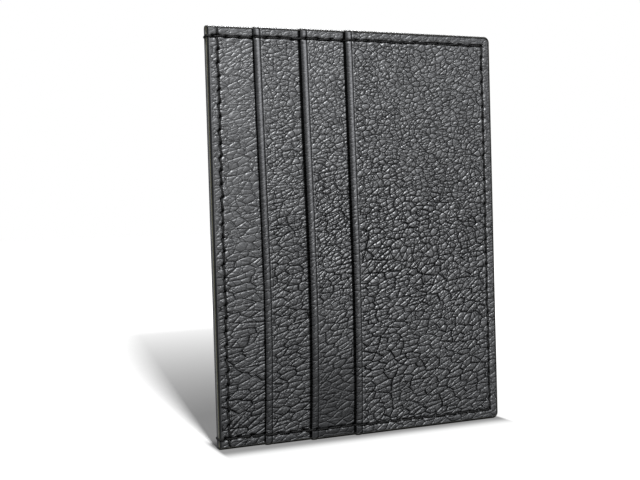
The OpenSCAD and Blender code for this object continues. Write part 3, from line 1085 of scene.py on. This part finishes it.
def new_group(name, size_name, size, outputs):
    """An empty node group that takes a place and a size, and puts out the named values."""
    tree = bpy.data.node_groups.new(name, "ShaderNodeTree")
    tree.interface.new_socket(name="Vector", in_out="INPUT", socket_type="NodeSocketVector")
    socket = tree.interface.new_socket(name=size_name, in_out="INPUT", socket_type="NodeSocketFloat")
    socket.default_value = size
    for label in outputs:
        tree.interface.new_socket(name=label, in_out="OUTPUT", socket_type="NodeSocketFloat")
    nodes = Nodes(tree)
    return tree, nodes, nodes.add("NodeGroupInput").outputs, nodes.add("NodeGroupOutput").inputs


def fine_skin_group():
    """Fine skin: tiny wrinkles between pores, as a height, and a mottled mask of where it is shiny."""
    tree, nodes, given, result = new_group("fine_skin", "Wrinkle Size", 0.4, ("Height", "Mottle"))
    scale = nodes.math("DIVIDE", 1000.0, given["Wrinkle Size"])
    warp = nodes.noise(given["Vector"], 900.0, 2.0)
    shift = nodes.add(
        "ShaderNodeVectorMath", {0: warp.outputs["Color"], "Scale": 0.0005}, operation="SCALE"
    )
    moved = nodes.add("ShaderNodeVectorMath", {0: given["Vector"], 1: shift.outputs[0]}, operation="ADD")
    wrinkles = nodes.add(
        "ShaderNodeTexVoronoi", {"Vector": moved.outputs[0], "Scale": scale}, feature="DISTANCE_TO_EDGE"
    )
    tops = nodes.ramp(wrinkles.outputs["Distance"], 0.0, 0.28)
    pores = nodes.noise(given["Vector"], 6500.0, 3.0)
    height = nodes.math("ADD", nodes.times(tops, 0.7), nodes.times(pores.outputs["Fac"], 0.5))
    mottle = nodes.noise(given["Vector"], 260.0, 4.0)
    nodes.put(result["Height"], height)
    nodes.put(result["Mottle"], mottle.outputs["Fac"])
    return tree


def twist_group():
    """Thread twist: slanting ridges of three plies from the thread's own map, half a sine wave each,
    as a height and a mask of the valleys between them."""
    tree, nodes, given, result = new_group("thread_twist", "Lay", 0.8, ("Height", "Valley"))
    parts = nodes.add("ShaderNodeSeparateXYZ", {"Vector": given["Vector"]})
    turns = nodes.times(parts.outputs["X"], 3.0)
    travel = nodes.math("DIVIDE", parts.outputs["Y"], given["Lay"])
    phase = nodes.times(nodes.math("ADD", turns, travel), math.pi)
    height = nodes.math("ABSOLUTE", nodes.math("SINE", phase))
    nodes.put(result["Height"], height)
    nodes.put(result["Valley"], nodes.ramp(height, 0.0, 0.5, 1.0, 0.0))
    return tree


def weave_group():
    """Plain weave on the two long directions of a flat cloth: the product of two sine waves, as a
    height and a mask of its gaps."""
    tree, nodes, given, result = new_group("plain_weave", "Yarn", 0.3, ("Height", "Gap"))
    parts = nodes.add("ShaderNodeSeparateXYZ", {"Vector": given["Vector"]})
    turn = nodes.math("DIVIDE", 1000 * math.pi, given["Yarn"])
    a = nodes.math("SINE", nodes.times(parts.outputs["X"], turn))
    b = nodes.math("SINE", nodes.times(parts.outputs["Z"], turn))
    over = nodes.times(a, b)
    rounds = nodes.times(nodes.math("ABSOLUTE", a), nodes.math("ABSOLUTE", b))
    nodes.put(result["Height"], nodes.math("ADD", nodes.times(over, 0.5), rounds))
    nodes.put(result["Gap"], nodes.ramp(rounds, 0.0, 0.25, 1.0, 0.0))
    return tree


def creases(nodes):
    """The creases of the grain inside the leather's own tree, from the places and strengths kept on its
    points: a height in millimetres for the sharp cuts, each fading exponentially, and a mask that
    is a bell curve across each crease, with 1 in its middle, which paints shade into the creases."""
    place = nodes.add("ShaderNodeSeparateXYZ", {"Vector": nodes.mark("grain_place").outputs["Vector"]})
    cuts = nodes.add("ShaderNodeSeparateXYZ", {"Vector": nodes.mark("grain_cuts").outputs["Vector"]})
    height = 0.0
    crease = 0.0

    def weighed(x_share, y_share):
        x = nodes.times(place.outputs["X"], x_share)
        return nodes.math("ADD", x, nodes.times(place.outputs["Y"], y_share))

    for axis, (name, (wide, tall, slant)) in zip("XYZ", NETWORKS.items()):
        spot = nodes.add("ShaderNodeCombineXYZ", {
            "X": weighed(math.cos(slant) / wide, math.sin(slant) / wide),
            "Y": weighed(-math.sin(slant) / tall, math.cos(slant) / tall),
        })
        edge = nodes.add(
            "ShaderNodeTexVoronoi", {"Vector": spot.outputs[0], "Scale": 1.0},
            voronoi_dimensions="2D", feature="DISTANCE_TO_EDGE",
        )
        away = nodes.times(edge.outputs["Distance"], place.outputs["Z"])
        away = nodes.times(away, -math.sqrt(wide * tall) / CUT_REACH[name])
        dip = nodes.times(nodes.math("EXPONENT", away), cuts.outputs[axis])
        near = nodes.math("DIVIDE", away, CREASE_LINE)
        near = nodes.math("EXPONENT", nodes.times(nodes.times(near, near), -1.0))
        dark = nodes.math("POWER", cuts.outputs[axis], 0.5, clamp=True)
        height = nodes.math("SUBTRACT", height, nodes.times(dip, CUT_SHARE[name]))
        crease = nodes.math("MAXIMUM", crease, nodes.times(near, nodes.times(dark, LINE_SHARE[name])))
    return nodes.times(height, GRAIN_DEEP * SHARP_SHARE), crease


def new_material(name, colour):
    """An empty material with its output and a Principled shader. The colour is its plain one."""
    material = bpy.data.materials.new(name)
    material.use_nodes = True
    material.diffuse_color = (*colour, 1)
    material.node_tree.nodes.clear()
    nodes = Nodes(material.node_tree)
    output = nodes.add("ShaderNodeOutputMaterial")
    shader = nodes.add("ShaderNodeBsdfPrincipled")
    nodes.put(output.inputs["Surface"], shader.outputs["BSDF"])
    return material, nodes, shader.inputs


def place_group(nodes, tree, where, size):
    """The outputs of a group that is laid out on a place in a size."""
    node = nodes.add("ShaderNodeGroup")
    node.node_tree = tree
    nodes.put(node.inputs[0], where)
    nodes.put(node.inputs[1], size)
    return node.outputs


def black_leather(skin):
    """Black pebbled leather under a satin finish coat, which fills the creases a little. The grain's
    creases and the shade marked on the points are painted shade: there the colour goes near black and the
    coat is left out. The front's mouth edge has an olive tone that is partly painted light, and the lips'
    crests a painted highlight."""
    material, nodes, shader = new_material("black_leather", (0.018, 0.0183, 0.019))
    where = nodes.add("ShaderNodeTexCoord").outputs["Object"]
    fine = place_group(nodes, skin, where, 0.42)
    cut, crease = creases(nodes)
    # Painted shade: the crease lines of the grain and the shade marked on the points
    painted_shade = nodes.math("MAXIMUM", nodes.mark("groove").outputs["Fac"], crease)

    tone = nodes.ramp(fine["Mottle"], 0.3, 0.7)
    hide = nodes.blend(tone, (0.062, 0.0628, 0.0651), (0.089, 0.0902, 0.093))
    # Olive tone of the front's mouth edge, partly painted light
    olive = nodes.blend(nodes.mark("olive_lit_edge").outputs["Fac"], hide, (0.19, 0.179, 0.084))
    # Painted highlight along the crests of the lips, brighter towards the top
    painted_highlight = nodes.blend(nodes.mark("crest_highlight").outputs["Fac"], olive, (0.23, 0.23, 0.24))
    # Where there is painted shade the colour goes near black
    nodes.put(shader["Base Color"], nodes.blend(painted_shade, painted_highlight, (0.002, 0.002, 0.002)))
    rough = nodes.ramp(fine["Mottle"], 0.3, 0.7, 0.5, 0.62)
    nodes.put(shader["Roughness"], nodes.math("ADD", rough, nodes.times(painted_shade, 0.4), clamp=True))
    relief = nodes.math("ADD", cut, nodes.times(fine["Height"], 0.04))
    nodes.put(shader["Normal"], nodes.bump(relief, 1.0, MM))
    shader["Specular IOR Level"].default_value = 0.0

    whole = nodes.math("SUBTRACT", 1.0, nodes.times(painted_shade, 1.3), clamp=True)
    nodes.put(shader["Coat Weight"], nodes.times(whole, nodes.ramp(tone, 0.0, 1.0, 0.85, 1.0)))
    shader["Coat Roughness"].default_value = 0.46
    shader["Coat IOR"].default_value = 2.25
    ripple = nodes.noise(where, 2600.0, 2.0).outputs["Fac"]
    film = nodes.math("ADD", nodes.times(cut, COAT_FOLLOWS), nodes.times(ripple, 0.05))
    nodes.put(shader["Coat Normal"], nodes.bump(film, 1.0, MM))
    return material


def two_tone(name, plain, group, place, size, colours, mask, rough, relief, gloss=0.5):
    """A material whose colour, roughness and relief follow one group on its own place. mask and rough
    are an output of the group with the range that is used of it, rough also with the roughness at both
    ends, and relief is the strength and depth, in metres, of the bump."""
    material, nodes, shader = new_material(name, plain)
    where = nodes.add("ShaderNodeTexCoord").outputs[place]
    pattern = place_group(nodes, group, where, size)
    tone = nodes.ramp(pattern[mask[0]], *mask[1:])
    nodes.put(shader["Base Color"], nodes.blend(tone, *colours))
    nodes.put(shader["Roughness"], nodes.ramp(pattern[rough[0]], *rough[1:]))
    nodes.put(shader["Normal"], nodes.bump(pattern["Height"], *relief))
    shader["Specular IOR Level"].default_value = gloss
    return material


def edge_paint(skin):
    """Edge paint: nearly black and satin, with a faint brown-green cast and a slightly uneven coat."""
    return two_tone(
        "edge_paint", (0.014, 0.013, 0.011), skin, "Object", 1.1,
        colours=((0.006, 0.006, 0.0056), (0.016, 0.0152, 0.012)), mask=("Mottle", 0.3, 0.7),
        rough=("Mottle", 0.3, 0.7, 0.5, 0.62), relief=(0.3, 0.00004), gloss=0.3,
    )


def sewing_thread(twist):
    """Black waxed thread of three plies: ridges follow the twist, and the valleys are painted darker as
    shade.
    """
    return two_tone(
        "sewing_thread", (0.012, 0.012, 0.012), twist, "UV", 0.55,
        colours=((0.01, 0.01, 0.01), (0.0024, 0.0024, 0.0024)), mask=("Valley", 0.0, 1.0),
        rough=("Height", 0.0, 1.0, 0.8, 0.6), relief=(0.8, 0.00008), gloss=0.2,
    )


def stop_thread(skin):
    """Fine black thread of the hidden stop seams, with a fibrous surface."""
    return two_tone(
        "stop_thread", (0.01, 0.01, 0.01), skin, "Object", 0.15,
        colours=((0.02, 0.02, 0.02), (0.05, 0.05, 0.05)), mask=("Mottle", 0.3, 0.7),
        rough=("Mottle", 0.3, 0.7, 0.6, 0.75), relief=(0.5, 0.00003),
    )


def lining_cloth(weave):
    """Black lining cloth in plain weave, matt, with painted shade in the gaps between its yarns."""
    return two_tone(
        "lining_cloth", (0.014, 0.014, 0.015), weave, "Object", 0.28,
        colours=((0.06, 0.06, 0.063), (0.016, 0.016, 0.016)), mask=("Gap", 0.0, 1.0),
        rough=("Height", 0.0, 1.5, 0.9, 0.7), relief=(0.6, 0.00005),
    )


# ------------------------------------------------------------------ stage

FLOOR_HALF = 2.5
# How brightly the floor glows near the holder, and between which distances from it that grows to full.
# The fainter glow near the holder is painted shade, which deepens the holder's shadow there
NEAR_GLOW = 0.2
GLOW_NEAR = 0.05
GLOW_FAR = 0.28
# Grey of the floor as the camera sees it, and as its light falls back on the holder
FLOOR_SEEN = 0.66
FLOOR_LIT = 0.25
# Share of the white surroundings that shows in the leather's gloss, and their even light
GLOSS_SHARE = 0.12
EVEN_LIGHT = 0.06
# The painted contact shadow on the floor: its strength, and its reach in front of and beside the holder,
# in millimetres
CONTACT_SHADE = 0.7
CONTACT_FRONT = 4.5
CONTACT_SIDE = 0.8
# What the lamps look at, and their places, sizes in metres and watts; the holder's own pairs are given
# for the front and stand turned half round for the back
LAMP_AIM = (0, 0, 0.05)
FLOOR_KEY = ((-0.16, -1.2, 0.545), 0.12, 52.0)
KEY = ((-0.22, -0.44, 0.46), 0.10, 1.1)
TOP_LIGHT = ((-0.16, -0.38, 0.70), 0.12, 13.2)
# Colour of the top lights, a little cooler than the rest
COOL_WHITE = (0.955, 0.975, 1.0)
PLAIN_WHITE = (1, 1, 1)
# The camera: focal length and sensor width in millimetres, its place in millimetres, and its turn in
# degrees to the side, up and over
LENS = 56.2
SENSOR_W = 36
EYE = (-107.31, -226.58, 55.63)
EYE_TURN = (-23.196, -1.616, -1.656)


def white_floor():
    """A white floor that takes the holder's shadow. What the camera or a gloss ray sees of it glows,
    faintly near the holder and fully white farther off, so that the floor has no edge; the fainter glow
    near the holder is painted shade, in which that shadow is deepest. A soft contact shadow is painted
    into the floor's colour and glow close round the foot of the holder."""
    mesh = bpy.data.meshes.new("floor")
    corners = [(FLOOR_HALF * x, FLOOR_HALF * y, 0) for x, y in ((-1, -1), (1, -1), (1, 1), (-1, 1))]
    mesh.from_pydata(corners, [], [(0, 1, 2, 3)])
    floor = bpy.data.objects.new("floor", mesh)
    bpy.context.scene.collection.objects.link(floor)
    material = bpy.data.materials.new("white_floor")
    material.use_nodes = True
    nodes = Nodes(material.node_tree)
    material.node_tree.nodes.clear()
    output = nodes.add("ShaderNodeOutputMaterial")
    seen, camera_ray = nodes.white_seen()
    where = nodes.add("ShaderNodeTexCoord").outputs["Object"]
    away = nodes.add("ShaderNodeVectorMath", {0: where}, operation="LENGTH").outputs["Value"]
    far = nodes.ramp(away, GLOW_NEAR, GLOW_FAR, NEAR_GLOW, 1.0)

    # Painted contact shadow: a bell curve of the distance from the holder's foot, shorter to the sides,
    # which darkens the floor's colour and glow
    parts = nodes.add("ShaderNodeSeparateXYZ", {"Vector": where})
    steps = []
    for axis, half, reach in (("X", HOLDER_W / 2, CONTACT_SIDE), ("Y", TOP[LAST], CONTACT_FRONT)):
        outside = nodes.math("SUBTRACT", nodes.math("ABSOLUTE", parts.outputs[axis]), half * MM)
        outside = nodes.math("DIVIDE", nodes.math("MAXIMUM", outside, 0.0), reach * MM)
        steps.append(nodes.times(outside, outside))
    bell = nodes.math("EXPONENT", nodes.times(nodes.math("ADD", *steps), -1.0))
    clear = nodes.math("SUBTRACT", 1.0, nodes.times(bell, CONTACT_SHADE))

    grey = nodes.times(nodes.ramp(camera_ray, 0.0, 1.0, FLOOR_LIT, FLOOR_SEEN), clear)
    paint = nodes.add("ShaderNodeBsdfDiffuse", {"Color": grey})
    strength = nodes.times(nodes.times(seen, far), clear)
    glow = nodes.add("ShaderNodeEmission", {"Color": (1, 1, 1, 1), "Strength": strength})
    both = nodes.add("ShaderNodeAddShader", {0: paint.outputs[0], 1: glow.outputs[0]})
    nodes.put(output.inputs["Surface"], both.outputs[0])
    mesh.materials.append(material)
    floor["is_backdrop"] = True


def white_world():
    """White behind the holder for the camera and dimmed for gloss, and an even light for all else."""
    world = bpy.data.worlds.new("white_room")
    bpy.context.scene.world = world
    world.use_nodes = True
    world.node_tree.nodes.clear()
    nodes = Nodes(world.node_tree)
    output = nodes.add("ShaderNodeOutputWorld")
    strength = nodes.math("MAXIMUM", nodes.white_seen()[0], EVEN_LIGHT)
    back = nodes.add("ShaderNodeBackground", {"Color": (1, 1, 1, 1), "Strength": strength})
    nodes.put(output.inputs["Surface"], back.outputs[0])


def set_up(name, data, place, across, up, back):
    """An object that stands at a place, with its own X, Y and Z axes along across, up and back."""
    thing = bpy.data.objects.new(name, data)
    turn = np.eye(4)
    turn[:3] = np.stack([across, up, back, place], axis=1)
    thing.matrix_world = Matrix(turn.tolist())
    bpy.context.scene.collection.objects.link(thing)
    return thing


def area_light(name, place, size, watts, only, colour=PLAIN_WHITE):
    """A square soft light that looks at the holder and lights nothing but the objects in the
    collection only."""
    data = bpy.data.lights.new(name, "AREA")
    data.size = size
    data.energy = watts
    data.color = colour
    back = np.array(place) - np.array(LAMP_AIM)
    back = back / np.linalg.norm(back)
    across = np.cross((0, 0, 1), back)
    across = across / np.linalg.norm(across)
    lamp = set_up(name, data, place, across, np.cross(back, across), back)
    lamp.light_linking.receiver_collection = only


def lights():
    """A low light in front throws the holder's shadow straight back over the floor. The others light
    the holder alone, so that the floor keeps one clear shadow: a key and a high raking light for the
    front, which brings out the grain, and the same for the back. They stand at a plain level, at which
    white turned towards them is about white."""
    holder = bpy.data.collections.new("holder_alone")
    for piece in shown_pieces():
        holder.objects.link(piece)
    ground = bpy.data.collections.new("floor_alone")
    ground.objects.link(bpy.data.objects["floor"])
    area_light("floor_key", *FLOOR_KEY, ground)
    for name, turn in (("", 1), ("back_", -1)):
        for lamp, (place, size, watts), colour in (
            ("key", KEY, PLAIN_WHITE), ("top_light", TOP_LIGHT, COOL_WHITE)
        ):
            turned = (place[0] * turn, place[1] * turn, place[2])
            area_light(name + lamp, turned, size, watts, holder, colour)


def camera():
    """The camera stands to the left in front of the holder, level with its middle."""
    data = bpy.data.cameras.new("camera")
    data.lens = LENS
    data.sensor_width = SENSOR_W
    data.clip_start = 0.01
    data.clip_end = 20
    yaw, pitch, roll = (math.radians(degrees) for degrees in EYE_TURN)
    ahead = np.array([-math.sin(yaw) * math.cos(pitch), math.cos(yaw) * math.cos(pitch), math.sin(pitch)])
    across = np.array([math.cos(yaw), math.sin(yaw), 0])
    up = np.cross(across, ahead)
    turned = across * math.cos(roll) + up * math.sin(roll)
    upright = up * math.cos(roll) - across * math.sin(roll)
    eye = set_up("camera", data, np.array(EYE) * MM, turned, upright, -ahead)
    bpy.context.scene.camera = eye


# ------------------------------------------------------------------ making

camera()
skin = fine_skin_group()
leather = black_leather(skin)
paint = edge_paint(skin)
thread = sewing_thread(twist_group())
hidden_thread = stop_thread(skin)
cloth = lining_cloth(weave_group())

for side in SIDES:
    for layer in (0, *POCKETS):
        leather_shell(side, layer, leather)
    edge_seam(side, thread)
    mouth_seam(side, thread)
mouth_tacks(thread)
painted_edge(paint)

for name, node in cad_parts.items():
    node.data.materials.clear()
    if "lining" in name:
        node.data.materials.append(cloth)
    elif "stop_seam" in name:
        node.data.materials.append(hidden_thread)
    else:
        node.data.materials.append(leather)

white_floor()
white_world()
lights()

settings = bpy.context.scene.view_settings
settings.view_transform = "Standard"
